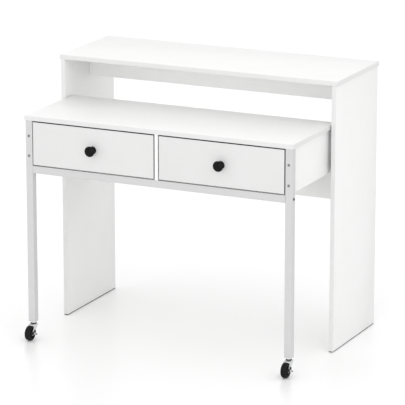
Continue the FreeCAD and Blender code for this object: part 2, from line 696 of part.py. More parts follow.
def drawer_front():
    """A drawer front for the right-hand drawer, grooved for the bottom and bored for its knob."""
    front = board(
        (DIVIDER_HALF + FRONT_GAP_DIVIDER, LEG_IN - FRONT_GAP_LEG),
        (DESK_FRONT, FRONT_BACK),
        (FRONT_BOTTOM_Z, FRONT_TOP_Z),
    )
    screw_hole = rod(KNOB_SCREW_RADIUS + CLEARANCE, Vector(KNOB_X, DESK_FRONT, KNOB_Z), Y_AXIS, BOARD)
    return front.cut([bottom_groove(FRONT_BACK - GROOVE_DEPTH, FRONT_BACK + 1), screw_hole])


def bottom_z():
    """Lower and upper face of a drawer's bottom."""
    low = BOX_BOTTOM_Z + 8.0
    return (low, low + DRAWER_BOTTOM)


def bottom_groove(front, back):
    """What the boards round a drawer's bottom lose to it, between two places along Y."""
    low, high = bottom_z()
    x = (BOX_IN + THIN_BOARD - GROOVE_DEPTH, BOX_OUT - THIN_BOARD + GROOVE_DEPTH)
    return block(x, (front, back), (low - GROOVE_PLAY, high + GROOVE_PLAY))


def knob():
    """A mushroom-shaped pull, turned about an axis along Y, with a blind hole for its screw."""
    start = Vector(KNOB_X, DESK_FRONT, KNOB_Z)
    foot = [(0, 0), (0, 13.0), (2.4, 13.0), (3.8, 11.0), (6.0, 7.4), (10.0, 5.7), (14.6, 6.2)]
    head = [(17.6, 9.2), (19.2, 13.0), (20.8, 16.0), (22.8, KNOB_RADIUS), (24.6, KNOB_RADIUS)]
    crown = [(26.8, 15.9), (28.5, 12.6), (29.6, 7.6), (KNOB_LENGTH, 0)]
    pull = turned(foot + head + crown, start, -Y_AXIS)
    return pull.cut(rod(KNOB_SCREW_RADIUS + CLEARANCE, start, -Y_AXIS, 12.5))


def build_drawers():
    """Both drawers: the right-hand one is built, and the left-hand one is its mirror image."""
    box_z = (BOX_BOTTOM_Z, BOX_BOTTOM_Z + BOX_HEIGHT)
    inner_x = (BOX_IN + THIN_BOARD, BOX_OUT - THIN_BOARD)
    groove = bottom_groove(FRONT_BACK - 1, BOX_BACK + 1)

    front = drawer_front()
    back_low = bottom_z()[1] + GROOVE_PLAY
    back = board(inner_x, (BOX_BACK - THIN_BOARD, BOX_BACK), (back_low, box_z[1]))
    walls = {
        "side_inner": (BOX_IN, inner_x[0], 1),
        "side_outer": (BOX_OUT, inner_x[1], -1),
    }
    parts = {}
    fasteners = []
    for name, (outside, inside, towards) in walls.items():
        inward = X_AXIS * towards
        wall = board((outside, inside), (FRONT_BACK, BOX_BACK), box_z).cut(groove)
        for z in (box_z[0] + 40, box_z[1] - 20):
            head = Vector(outside, BOX_BACK - THIN_BOARD / 2, z)
            hole = flat_screw_hole(head, inward, 30.0)
            wall = wall.cut(hole)
            back = back.cut(hole)
            fasteners.append(flat_screw(head, inward, 30.0))
        for z in (box_z[0] + 28, box_z[1] - 18):
            edge = Vector((outside + inside) / 2, FRONT_BACK, z)
            fitting = CamFitting(
                edge, -Y_AXIS, inward, THIN_BOARD, SHORT_CAM_FROM_EDGE, DRAWER_CAM_RADIUS
            )
            wall = wall.cut([fitting.cam_hole, fitting.bolt_hole])
            front = front.cut(fitting.thread_hole)
            fasteners += [fitting.cam, fitting.bolt]
        parts[name] = wall
    knob_screw_face = Vector(KNOB_X, FRONT_BACK, KNOB_Z)
    fasteners.append(button_screw(knob_screw_face, -Y_AXIS, BOARD + 12.0, 4.0, 2.2, KNOB_SCREW_RADIUS))

    channels, bars, cages = [], [], []
    for cabinet_x, drawer_x in ((SIDE_IN, BOX_OUT), (DIVIDER_HALF, BOX_IN)):
        channel, bar, cage = slide_parts(cabinet_x, drawer_x)
        channels.append(channel)
        bars.append(bar)
        cages.append(cage)

    bottom_x = (inner_x[0] - GROOVE_DEPTH + 0.2, inner_x[1] + GROOVE_DEPTH - 0.2)
    parts["front"] = front
    parts["back"] = back
    parts["bottom"] = block(bottom_x, (FRONT_BACK - GROOVE_DEPTH + 0.2, BOX_BACK), bottom_z())
    parts["knob"] = knob()
    parts["slide_bars"] = group(bars)
    parts["fasteners"] = group(fasteners)

    for side, sign in SIDES:
        for name, shape in parts.items():
            NODES[f"drawer_{side}_{name}"] = on_side(shape, sign)
        NODES[f"ball_cages_{side}"] = on_side(group(cages), sign)
    build_slide_channels(channels)


def build_slide_channels(channels):
    """The four cabinet channels of the drawer slides, and their screws."""
    made, screws = [], []
    outer_screws, inner_screws = slide_channel_screws()
    for sign in SIGNS:
        for channel, stated in zip(channels, (outer_screws, inner_screws[sign])):
            placed = [on_sign(screw, sign) for screw in stated]
            made.append(on_side(channel, sign).cut([flat_screw_hole(*screw) for screw in placed]))
            screws += [flat_screw(*screw) for screw in placed]
    NODES["slide_channels"] = group(made)
    NODES["slide_screws"] = group(screws)


# ---------------------------------------------------------------- casters


# Each function below builds one part of the caster in the middle plane, X = 0.


def caster_stem():
    """The stem: its thread, the bearing washer over the fork's crown and the riveted end under it."""
    rivet_low = CROWN_LOW_Z - 2.3
    washer_low = CROWN_TOP_Z + BEARING_GAP
    washer_top = washer_low + 1.2
    outline = [
        (rivet_low, 0), (rivet_low, 5.5), (CROWN_LOW_Z - 0.3, 6.0), (CROWN_LOW_Z - 0.3, STEM_RADIUS),
        (washer_low, STEM_RADIUS), (washer_low, 8.0), (washer_top, 8.0), (washer_top, STEM_RADIUS),
        (STEM_TOP_Z - 1, STEM_RADIUS), (STEM_TOP_Z, STEM_RADIUS - 0.8), (STEM_TOP_Z, 0),
    ]
    return turned(outline, Vector(0, LEG_CENTRE_Y, 0), Z_AXIS)


def swivel_cover():
    """The black plastic cup over the swivel bearing."""
    low = CROWN_TOP_Z + BEARING_GAP
    ceiling = low + 1.4
    bore = STEM_RADIUS + CLEARANCE
    outline = [
        (low, 8.3), (low, COVER_RADIUS), (COVER_TOP_Z - 1, COVER_RADIUS), (COVER_TOP_Z, COVER_RADIUS - 1),
        (COVER_TOP_Z, bore), (ceiling, bore), (ceiling, 8.3),
    ]
    return turned(outline, Vector(0, LEG_CENTRE_Y, 0), Z_AXIS)


def caster_fork():
    """A stamped fork: a crown under the swivel bearing and a cheek on each side of the wheel."""
    cheek_round = 7.5
    front_top = Vector(0, LEG_CENTRE_Y - 13.0, CROWN_TOP_Z)
    back_top = Vector(0, LEG_CENTRE_Y + 11.0, CROWN_TOP_Z)
    axle = Vector(0, AXLE_Y, WHEEL_RADIUS)
    front_low = axle + Vector(0, -cheek_round, 2.0)
    back_low = axle + Vector(0, 5.5, -5.0)
    lowest = axle + Vector(0, -1.5, -cheek_round)
    edges = [
        Part.LineSegment(front_top, front_low).toShape(),
        Part.Arc(front_low, lowest, back_low).toShape(),
        Part.LineSegment(back_low, back_top).toShape(),
        Part.LineSegment(back_top, front_top).toShape(),
    ]
    cheek = Part.Face(Part.Wire(edges)).extrude(X_AXIS * FORK_PLATE)
    right = cheek.translated(Vector(CHEEK_IN, 0, 0))
    left = cheek.translated(Vector(-CHEEK_OUT, 0, 0))
    crown = block((-CHEEK_OUT, CHEEK_OUT), (front_top.y, back_top.y), (CROWN_LOW_Z, CROWN_TOP_Z))
    fork = crown.multiFuse([right, left]).removeSplitter()
    bends = [
        e for e in fork.Edges
        if abs(abs(e.CenterOfMass.x) - CHEEK_OUT) < 0.01 and abs(e.CenterOfMass.z - CROWN_TOP_Z) < 0.01
    ]
    fork = fork.makeFillet(1.6, bends)
    axle_hole = rod(AXLE_RADIUS + 0.05, axle - X_AXIS * 2 * CHEEK_OUT, X_AXIS, 4 * CHEEK_OUT)
    stem_hole = rod(STEM_RADIUS + 0.08, Vector(0, LEG_CENTRE_Y, CROWN_LOW_Z - 1), Z_AXIS, 6)
    return fork.cut([axle_hole, stem_hole])


def caster_axle():
    """The axle bolt, with a domed head on the left, and a lock nut past the brake lever on the right."""
    start = Vector(-CHEEK_OUT - 0.1, AXLE_Y, WHEEL_RADIUS)
    length = 2 * CHEEK_OUT + 7.5
    outline = [
        (-2.4, 0), (-2.4, 2.4), (-1.6, 3.9), (0, 4.6), (0, AXLE_RADIUS), (length, AXLE_RADIUS), (length, 0),
    ]
    bolt = turned(outline, start, X_AXIS)
    nut_start = Vector(CHEEK_OUT + 2.4, AXLE_Y, WHEEL_RADIUS)
    nut_reach = 4.4
    corners = []
    for number in range(7):
        angle = math.radians(60 * number)
        corners.append(nut_start + Vector(0, math.cos(angle), math.sin(angle)) * nut_reach)
    nut = Part.Face(Part.makePolygon(corners)).extrude(X_AXIS * 4.0)
    nut = nut.cut(rod(AXLE_RADIUS, nut_start - X_AXIS, X_AXIS, 6.0))
    return group([bolt, nut])


def wheel_turned(right_half):
    """A solid turned about the axle from the right half of its outline, from the bore to the rim."""
    left_half = [(-along, radius) for along, radius in reversed(right_half)]
    return turned(right_half + left_half, Vector(0, AXLE_Y, WHEEL_RADIUS), X_AXIS)


def caster_core():
    """The wheel's plastic core: a hub and a web inside the tyre."""
    half = WHEEL_WIDTH / 2
    rim = TYRE_INNER_RADIUS - 0.1
    hub = [(half, AXLE_RADIUS + 0.1), (half, 7.0), (3.5, 8.5)]
    return wheel_turned(hub + [(3.5, rim - 2.9), (7.0, rim - 1.9), (7.0, rim)])


def caster_tyre():
    """The wheel's black tyre, with a slightly crowned tread."""
    half = WHEEL_WIDTH / 2
    return wheel_turned(
        [
            (half - 0.4, TYRE_INNER_RADIUS), (half, TYRE_INNER_RADIUS + 0.8), (half, WHEEL_RADIUS - 3.2),
            (half - 1.0, WHEEL_RADIUS - 1.4), (half - 2.8, WHEEL_RADIUS - 0.4), (2.0, WHEEL_RADIUS),
        ]
    )


def caster_brake():
    """A side-lock lever on the axle: an eye, an arm to the back and a tab that a foot presses down."""
    x = CHEEK_OUT + 0.3
    plate = (x, x + BRAKE_SHEET)
    axle = Vector(x, AXLE_Y, WHEEL_RADIUS)
    arm_low = WHEEL_RADIUS - 4.0
    eye = rod(6.0, axle, X_AXIS, BRAKE_SHEET)
    arm = block(plate, (AXLE_Y, AXLE_Y + 15.0), (arm_low, WHEEL_RADIUS + 4.0))
    riser = block(plate, (AXLE_Y + 9.0, AXLE_Y + 15.0), (arm_low, WHEEL_RADIUS + 9.0))
    tab = block((x, BRAKE_REACH), (AXLE_Y + 7.0, AXLE_Y + 17.0), (arm_low - BRAKE_SHEET, arm_low))
    lever = eye.multiFuse([arm, riser, tab]).removeSplitter()
    corners = [e for e in edges_along(lever, Z_AXIS) if abs(e.CenterOfMass.x - BRAKE_REACH) < 0.01]
    lever = lever.makeFillet(2.5, corners)
    return lever.cut(rod(AXLE_RADIUS + 0.05, axle - X_AXIS, X_AXIS, BRAKE_SHEET + 2))


def build_casters():
    """Both casters stand alike, each with its brake lever on its right-hand side."""
    parts = {
        "fork": caster_fork(),
        "axle": caster_axle(),
        "core": caster_core(),
        "tyre": caster_tyre(),
        "brake": caster_brake(),
    }
    to_leg = {sign: Vector(sign * LEG_CENTRE_X, 0, 0) for sign in SIGNS}
    for side, sign in SIDES:
        for name, shape in parts.items():
            NODES[f"caster_{name}_{side}"] = shape.translated(to_leg[sign])
    NODES["caster_stems"] = group([caster_stem().translated(to_leg[sign]) for sign in SIGNS])
    NODES["swivel_covers"] = group([swivel_cover().translated(to_leg[sign]) for sign in SIGNS])


# ---------------------------------------------------------------- all of it


def main():
    build_frame()
    build_base_strips()
    build_guide_channels()
    board_bolts = build_desk_boards()
    end_nuts = build_legs()
    NODES["desk_bolts"] = group(board_bolts + end_nuts)
    build_leg_plugs()
    build_guide_rollers()
    build_drawers()
    build_casters()
    os.makedirs("parts", exist_ok=True)
    for name, shape in sorted(NODES.items()):
        solids = shape.Solids
        if not shape.isValid() or not solids or any(s.Volume <= 0 for s in solids):
            raise ValueError(f"{name} isn't a set of valid solids")
        shape.exportStep(f"parts/{name}.step")
        print(f"{name:28s} {len(solids):3d} solids {sum(s.Volume for s in solids) / 1000:10.2f} cm3")
    print(len(NODES), "nodes")


main()
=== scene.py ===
"""The looks of a pull-out manicure table: a white laminated frame, and a desk with two drawers on casters.

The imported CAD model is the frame, in metres: +Z is up, +X is to the right and -Y is towards the person
who sits at the desk. Every piece made here takes its place from the box or the mesh of a CAD node.
"""

import json
import math

import bmesh
import bpy
from mathutils import Matrix, Vector


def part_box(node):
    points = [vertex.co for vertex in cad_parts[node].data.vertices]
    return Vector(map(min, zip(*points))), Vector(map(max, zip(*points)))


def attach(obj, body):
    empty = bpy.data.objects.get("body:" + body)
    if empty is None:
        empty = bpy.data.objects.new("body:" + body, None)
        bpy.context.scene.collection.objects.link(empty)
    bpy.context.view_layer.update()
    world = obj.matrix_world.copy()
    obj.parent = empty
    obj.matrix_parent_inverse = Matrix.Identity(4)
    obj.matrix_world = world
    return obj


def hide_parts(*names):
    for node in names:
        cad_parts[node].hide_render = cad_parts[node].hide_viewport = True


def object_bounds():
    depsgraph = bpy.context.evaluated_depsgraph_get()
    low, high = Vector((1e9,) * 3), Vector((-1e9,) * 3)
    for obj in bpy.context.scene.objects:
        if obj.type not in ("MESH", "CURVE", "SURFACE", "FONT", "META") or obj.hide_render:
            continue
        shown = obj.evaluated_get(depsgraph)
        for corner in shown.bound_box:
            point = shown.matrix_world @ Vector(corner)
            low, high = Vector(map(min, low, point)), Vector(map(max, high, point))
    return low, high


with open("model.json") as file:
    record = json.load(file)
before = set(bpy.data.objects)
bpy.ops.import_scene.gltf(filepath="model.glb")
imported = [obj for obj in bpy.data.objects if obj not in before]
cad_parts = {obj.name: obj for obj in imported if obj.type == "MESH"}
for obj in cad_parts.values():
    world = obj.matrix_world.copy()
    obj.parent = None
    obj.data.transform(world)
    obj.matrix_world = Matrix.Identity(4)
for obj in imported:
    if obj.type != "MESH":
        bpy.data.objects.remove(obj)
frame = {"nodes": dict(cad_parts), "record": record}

CAD_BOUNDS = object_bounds()

MM = 0.001
SIDES = ("left", "right")
X, Y, Z = 0, 1, 2


# ---------------------------------------------------------------- procedural materials


class Shader:
    """One material: a Principled shader, and nodes that vary it over the surface."""

    def __init__(self, name, color, roughness, metallic=0.0, specular=0.5):
        self.material = bpy.data.materials.new(name)
        self.material.use_nodes = True
        self.tree = self.material.node_tree
        self.principled = self.tree.nodes["Principled BSDF"]
        self.set("Base Color", (*color, 1.0))
        self.set("Roughness", roughness)
        self.set("Metallic", metallic)
        self.set("Specular IOR Level", specular)
        self.place = self.add("ShaderNodeTexCoord").outputs["Object"]
        self.color = color
        self.roughness = roughness
        self.normal = None

    def set(self, socket, value):
        self.principled.inputs[socket].default_value = value

    def add(self, kind, **inputs):
        """A node of that kind, with values or links for the inputs named (spaces as underscores)."""
        node = self.tree.nodes.new(kind)
        for name, value in inputs.items():
            socket = node.inputs[name.replace("_", " ")]
            if isinstance(value, bpy.types.NodeSocket):
                self.tree.links.new(value, socket)
            else:
                socket.default_value = value
        return node

    def link(self, output, socket):
        self.tree.links.new(output, self.principled.inputs[socket])

    def stretched(self, factors):
        """The surface's place with each axis multiplied, so that a pattern runs along one of them."""
        mapping = self.add("ShaderNodeMapping", Vector=self.place, Scale=factors)
        return mapping.outputs["Vector"]

    def noise(self, size, detail=3.0, rough=0.5, place=None):
        """Noise whose features are about size metres across, as a value near 0.5."""
        node = self.add(
            "ShaderNodeTexNoise",
            Vector=place or self.place,
            Scale=1.0 / size,
            Detail=detail,
            Roughness=rough,
        )
        return node.outputs["Fac"]

    def cells(self, size):
        """The distance to the nearest of scattered points, about size metres apart."""
        node = self.add("ShaderNodeTexVoronoi", Vector=self.place, Scale=1.0 / size)
        return node.outputs["Distance"]

    def spread(self, value, low, high, start=0.35, end=0.65):
        """value, mapped from start..end to low..high."""
        node = self.add("ShaderNodeMapRange", Value=value)
        node.inputs["From Min"].default_value = start
        node.inputs["From Max"].default_value = end
        node.inputs["To Min"].default_value = low
        node.inputs["To Max"].default_value = high
        return node.outputs["Result"]

    def mix(self, value, first, second):
        """The colour between first and second, at value."""
        node = self.tree.nodes.new("ShaderNodeMix")
        node.data_type = "RGBA"
        # a mix node's colours are its inputs 6 and 7 and its output 2
        node.inputs[6].default_value = (*first, 1.0)
        node.inputs[7].default_value = (*second, 1.0)
        self.tree.links.new(value, node.inputs[0])
        return node.outputs[2]

    def mottle(self, size, amount, tint=(1.0, 1.0, 1.0)):
        """Varies the colour by a share of itself, towards tint where it is darker."""
        dark = [c * (1.0 - amount) * t for c, t in zip(self.color, tint)]
        light = [min(1.0, c * (1.0 + amount)) for c in self.color]
        value = self.spread(self.noise(size, 4.0), 0.0, 1.0)
        self.link(self.mix(value, dark, light), "Base Color")

    def polish(self, size, amount, place=None):
        """Varies the roughness by plus or minus amount."""
        value = self.noise(size, 4.0, place=place)
        self.link(self.spread(value, self.roughness - amount, self.roughness + amount), "Roughness")

    def relief(self, height, depth, strength=1.0):
        """Bump from a value between 0 and 1, depth metres deep, on top of any bump before it."""
        bump = self.add("ShaderNodeBump", Height=height, Distance=depth, Strength=strength)
        if self.normal:
            self.tree.links.new(self.normal, bump.inputs["Normal"])
        self.normal = bump.outputs["Normal"]
        self.link(self.normal, "Normal")


def melamine():
    """White melamine paper: a faint pearl grain pressed in, and very slight waviness of the board."""
    shader = Shader("white melamine", (0.868, 0.868, 0.864), 0.40, specular=0.42)
    shader.mottle(0.09, 0.006, tint=(1.0, 1.0, 0.997))
    shader.polish(0.02, 0.05)
    shader.relief(shader.noise(0.0012, 4.0), 0.000035)
    shader.relief(shader.noise(0.06, 2.0), 0.00018, 0.6)
    return shader.material


def shaded_front_foil():
    """White foil of the drawer fronts: finer than the melamine of the boards, and greyer by painted shade,
    which stands in for the dimmer light on the front faces.
    """
    shader = Shader("white front foil with painted shade", (0.712, 0.712, 0.710), 0.38, specular=0.42)
    shader.mottle(0.07, 0.006, tint=(1.0, 1.0, 0.997))
    shader.polish(0.02, 0.05)
    shader.relief(shader.noise(0.0009, 4.0), 0.00003)
    shader.relief(shader.noise(0.05, 2.0), 0.00015, 0.6)
    return shader.material


def edging():
    """ABS edge tape: a little greyer and smoother than the board, with faint marks of the trimming knife."""
    shader = Shader("white edge tape", (0.732, 0.732, 0.730), 0.34, specular=0.45)
    shader.mottle(0.03, 0.008)
    shader.polish(0.004, 0.06)
    shader.relief(shader.noise(0.0016, 3.0), 0.00002)
    return shader.material


def painted_gap_shade_edging():
    """Near-black edge tape of the drawer fronts: painted shade, a dark band that stands in for the shadow in
    the gaps round each of them.
    """
    shader = Shader("near-black edge tape painting gap shade", (0.045, 0.045, 0.047), 0.45, specular=0.3)
    shader.mottle(0.02, 0.06)
    shader.polish(0.004, 0.06)
    shader.relief(shader.noise(0.0016, 3.0), 0.00002)
    return shader.material


def powder_coat():
    """White powder coat on steel tube, with its orange peel."""
    shader = Shader("white powder coat", (0.597, 0.597, 0.597), 0.36, specular=0.5)
    shader.mottle(0.02, 0.01)
    shader.polish(0.006, 0.05)
    shader.relief(shader.noise(0.0016, 3.0), 0.00006)
    shader.relief(shader.noise(0.0004, 2.0), 0.000012, 0.7)
    return shader.material


def hardboard():
    """Thin white-faced hardboard, with the wire-mesh weave of its press faintly in it."""
    shader = Shader("white hardboard", (0.82, 0.815, 0.79), 0.5, specular=0.35)
    shader.mottle(0.015, 0.02, tint=(1.0, 0.99, 0.96))
    shader.polish(0.01, 0.06)
    weave = shader.add("ShaderNodeTexWave", Vector=shader.place, Scale=180.0, Distortion=0.6)
    weave.bands_direction = "DIAGONAL"
    shader.relief(weave.outputs["Fac"], 0.00004)
    return shader.material


def beech():
    """Beech of the dowels, with its fine short flecks along the grain."""
    shader = Shader("beech", (0.64, 0.44, 0.25), 0.55, specular=0.3)
    grain = shader.noise(0.0009, 4.0, place=shader.stretched((0.12, 1.0, 1.0)))
    tone = shader.mix(shader.spread(grain, 0.0, 1.0), (0.52, 0.33, 0.17), (0.70, 0.50, 0.30))
    shader.link(tone, "Base Color")
    shader.relief(grain, 0.00005)
    return shader.material


def plated_steel():
    """Bright nickel plate on stamped steel: soft drawing marks and a slight unevenness."""
    shader = Shader("nickel plate", (0.66, 0.665, 0.67), 0.26, metallic=1.0)
    shader.mottle(0.01, 0.05)
    shader.polish(0.0015, 0.08, place=shader.stretched((1.0, 1.0, 0.12)))
    shader.relief(shader.noise(0.0007, 3.0, place=shader.stretched((1.0, 1.0, 0.15))), 0.00001)
    return shader.material


def zinc():
    """Zinc plate of screws and cams: dull, blotchy and slightly blue."""
    shader = Shader("zinc plate", (0.50, 0.51, 0.52), 0.38, metallic=1.0)
    shader.mottle(0.002, 0.12, tint=(1.0, 1.0, 1.02))
    shader.polish(0.0012, 0.1)
    shader.relief(shader.noise(0.0004, 3.0), 0.00001)
    return shader.material


def dark_zinc():
    """Black-chromated zinc of the leg screws: dark grey, still metallic, with a satin bloom."""
    shader = Shader("dark zinc plate", (0.27, 0.27, 0.275), 0.36, metallic=1.0)
    shader.mottle(0.002, 0.12)
    shader.polish(0.0012, 0.08)
    shader.relief(shader.noise(0.0004, 3.0), 0.00001)
    return shader.material


def galvanised():
    """Rolled galvanised strip of the drawer slides and guide channels: spangle and rolling lines."""
    shader = Shader("galvanised strip", (0.60, 0.61, 0.62), 0.33, metallic=1.0)
    spangle = shader.spread(shader.cells(0.004), 0.0, 1.0, 0.1, 0.7)
    shader.link(shader.mix(spangle, (0.54, 0.55, 0.565), (0.65, 0.655, 0.66)), "Base Color")
    shader.polish(0.0008, 0.09, place=shader.stretched((1.0, 0.06, 1.0)))
    shader.relief(shader.noise(0.0006, 2.0, place=shader.stretched((1.0, 0.05, 1.0))), 0.000008)
    return shader.material


def black_gloss():
    """Moulded glossy black plastic of the knobs, with a soft unevenness in its shine."""
    shader = Shader("glossy black plastic", (0.005, 0.005, 0.0055), 0.28, specular=0.115)
    shader.mottle(0.004, 0.2)
    shader.polish(0.003, 0.06)
    shader.relief(shader.noise(0.0025, 2.0), 0.00003, 0.7)
    return shader.material


def black_satin():
    """Moulded black plastic with a spark-eroded grain: base strips, swivel covers and wheel cores."""
    shader = Shader("textured black plastic", (0.014, 0.014, 0.015), 0.48, specular=0.3)
    shader.mottle(0.003, 0.15)
    shader.polish(0.002, 0.08)
    shader.relief(shader.cells(0.0005), 0.00003)
    return shader.material


def tread():
    """Soft black polyurethane tread: matt, with faint patches of dust."""
    shader = Shader("black tread", (0.007, 0.007, 0.007), 0.55, specular=0.14)
    dust = shader.spread(shader.noise(0.006, 5.0, 0.6), 0.0, 1.0, 0.4, 0.75)
    shader.link(shader.mix(dust, (0.005, 0.005, 0.005), (0.014, 0.0135, 0.013)), "Base Color")
    shader.polish(0.003, 0.1)
    shader.relief(shader.noise(0.0006, 3.0), 0.00003)
    return shader.material


def black_oxide():
    """Black-oxide bolt: dark metal with a trace of oil."""
    shader = Shader("black oxide", (0.02, 0.02, 0.021), 0.4, metallic=0.6)
    shader.mottle(0.002, 0.2)
    shader.polish(0.001, 0.1)
    shader.relief(shader.noise(0.0004, 2.0), 0.00001)
    return shader.material


def nylon():
    """Natural nylon of the guide rollers."""
    shader = Shader("natural nylon", (0.76, 0.76, 0.71), 0.42, specular=0.45)
    shader.set("Subsurface Weight", 0.15)
    shader.set("Subsurface Scale", 0.002)
    shader.mottle(0.004, 0.02)
    shader.polish(0.002, 0.06)
    shader.relief(shader.noise(0.0008, 2.0), 0.00002)
    return shader.material


def white_cap():
    """Moulded white plastic of the cam covers and the leg plugs."""
    shader = Shader("white moulded plastic", (0.83, 0.83, 0.82), 0.38, specular=0.45)
    shader.mottle(0.004, 0.012)
    shader.polish(0.002, 0.06)
    shader.relief(shader.noise(0.0007, 2.0), 0.000015)
    return shader.material


def studio_floor():
    """A plain pale floor with a soft polish, lit a little from below like a product table."""
    shader = Shader("pale floor", (0.955, 0.955, 0.955), 0.25, specular=0.27)
    shader.set("Emission Color", (1.0, 1.0, 1.0, 1.0))
    shader.set("Emission Strength", 0.01)
    return shader.material


MELAMINE = melamine()
# the drawer front foil is the white melamine darkened: painted shade for the dimmer light on the front faces
SHADED_FRONT_FOIL = shaded_front_foil()
EDGING = edging()
# the drawer fronts' near-black edge tape is painted shade for the gaps round them
PAINTED_GAP_SHADE_EDGING = painted_gap_shade_edging()
SLOT_MATERIALS = {
    "white_laminate": MELAMINE,
    "white_hardboard": hardboard(),
    "white_steel": powder_coat(),
    "slide_steel": galvanised(),
    "zinc_steel": zinc(),
    "plated_steel": plated_steel(),
    "black_steel": black_oxide(),
    "black_knob": black_gloss(),
    "black_plastic": black_satin(),
    "black_wheel_core": black_satin(),
    "black_tyre": tread(),
    "white_cap": white_cap(),
    "white_nylon": nylon(),
    "beech": beech(),
}
NODE_MATERIALS = {"leg_screws": dark_zinc()}   # where a node's finish differs from its slot's


# ---------------------------------------------------------------- mesh building

FINE = 96               # segments round a turned piece
MEDIUM = 72
COARSE = 48
ON_AXIS = 1e-9          # metres, a radius that counts as none
ROUNDING_SHARE = 0.45   # of a side of an outline that the rounding of one corner may take


def body_of_node(node):
    """The body that a CAD node rides on."""
    for body, nodes in frame["record"]["behaviour"]["bodies"].items():
        if node in nodes:
            return body
    raise ValueError(f"no body holds {node}")


def slot_of_node(node):
    """The record's material slot of a CAD node."""
    for part in frame["record"]["subparts"]:
        if part["node"] == node:
            return part["material_slot"]
    raise ValueError(f"no subpart is {node}")


def piece(name, mesh, node, material=None, replace=True, sharp=35.0):
    """A finished piece that rides with a CAD node, and stands for that node if replace is true.

    Edges that turn by more than sharp degrees stay sharp, and the rest are shaded smooth.
    """
    angle = math.radians(sharp)
    for edge in mesh.edges:
        edge.smooth = len(edge.link_faces) == 2 and edge.calc_face_angle(0.0) < angle
    for face in mesh.faces:
        face.smooth = True
    bmesh.ops.recalc_face_normals(mesh, faces=mesh.faces)
    data = bpy.data.meshes.new(name)
    mesh.to_mesh(data)
    mesh.free()
    made = bpy.data.objects.new(name, data)
    bpy.context.scene.collection.objects.link(made)
    slot = slot_of_node(node)
    data.materials.append(material or SLOT_MATERIALS[slot])
    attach(made, body_of_node(node))
    if replace:
        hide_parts(node)


def add_box(mesh, low, high, bevel, segments=2):
    """Adds a box with rounded edges between two corners."""
    low, high = Vector(low), Vector(high)
    size = high - low
    place = Matrix.Translation((low + high) / 2) @ Matrix.Diagonal((*size, 1.0))
    made = bmesh.ops.create_cube(mesh, size=1.0, matrix=place)
    edges = {edge for vertex in made["verts"] for edge in vertex.link_edges}
    bmesh.ops.bevel(
        mesh,
        geom=list(edges),
        offset=bevel,
        segments=segments,
        profile=0.5,
        affect="EDGES",
        clamp_overlap=True,
    )


def across_and_up(direction):
    """Two directions at right angles to a unit vector and to each other."""
    side = Vector((0, 0, 1)) if abs(direction.z) < 0.9 else Vector((1, 0, 0))
    across = direction.cross(side).normalized()
    return across, direction.cross(across).normalized()


def add_turned(mesh, outline, start, direction, segments=MEDIUM):
    """Adds a solid of revolution about the line from start along direction.

    The outline's points are (along, radius), from the axis round to the axis, or a closed loop that stays
    clear of the axis.
    """
    direction = Vector(direction).normalized()
    across, up = across_and_up(direction)
    start = Vector(start)
    rings = []
    for along, radius in outline:
        centre = start + direction * along
        if radius < ON_AXIS:
            rings.append([mesh.verts.new(centre)])
            continue
        ring = []
        for step in range(segments):
            turn = 2 * math.pi * step / segments
            sideways = across * (radius * math.cos(turn))
            upwards = up * (radius * math.sin(turn))
            ring.append(mesh.verts.new(centre + sideways + upwards))
        rings.append(ring)
    if len(rings[0]) > 1 and len(rings[-1]) > 1:
        rings.append(rings[0])
    for first, second in zip(rings, rings[1:]):
        if len(first) == 1 and len(second) == 1:
            continue
        for step in range(segments):
            after = (step + 1) % segments
            corners = [first[step % len(first)], first[after % len(first)]]
            corners += [second[after % len(second)], second[step % len(second)]]
            mesh.faces.new(dict.fromkeys(corners))


def rounded(outline, radius, steps, closed=False):
    """The outline with its corners rounded, up to radius. An open outline keeps its two ends."""
    points = [Vector(p) for p in outline]
    count = len(points)
    result = []
    for index, here in enumerate(points):
        if not closed and index in (0, count - 1):
            result.append(tuple(here))
            continue
        before, after = points[index - 1], points[(index + 1) % count]
        shorter = min((before - here).length, (after - here).length)
        reach = min(radius, ROUNDING_SHARE * shorter)
        first = here + (before - here).normalized() * reach
        last = here + (after - here).normalized() * reach
        for step in range(steps + 1):
            t = step / steps
            result.append(tuple(first * (1 - t) ** 2 + here * (2 * t * (1 - t)) + last * t ** 2))
    return result


def mirrored(outline):
    """The outline, then its mirror image about the middle of the axis, back to front."""
    return outline + [(-along, radius) for along, radius in reversed(outline)]


# ---------------------------------------------------------------- boards

TAPE = 0.8 * MM          # thickness of the edge tape
TAPE_ROUND = 0.33 * MM   # bevel that the trimmer leaves on it
CORE_ROUND = 0.12 * MM   # on the face sheet where it meets the tape
FRONT_SHEET = 1.0 * MM   # thickness of the sheet on the drawer fronts
ROUND_STEPS = 3          # across the bevel of the tape


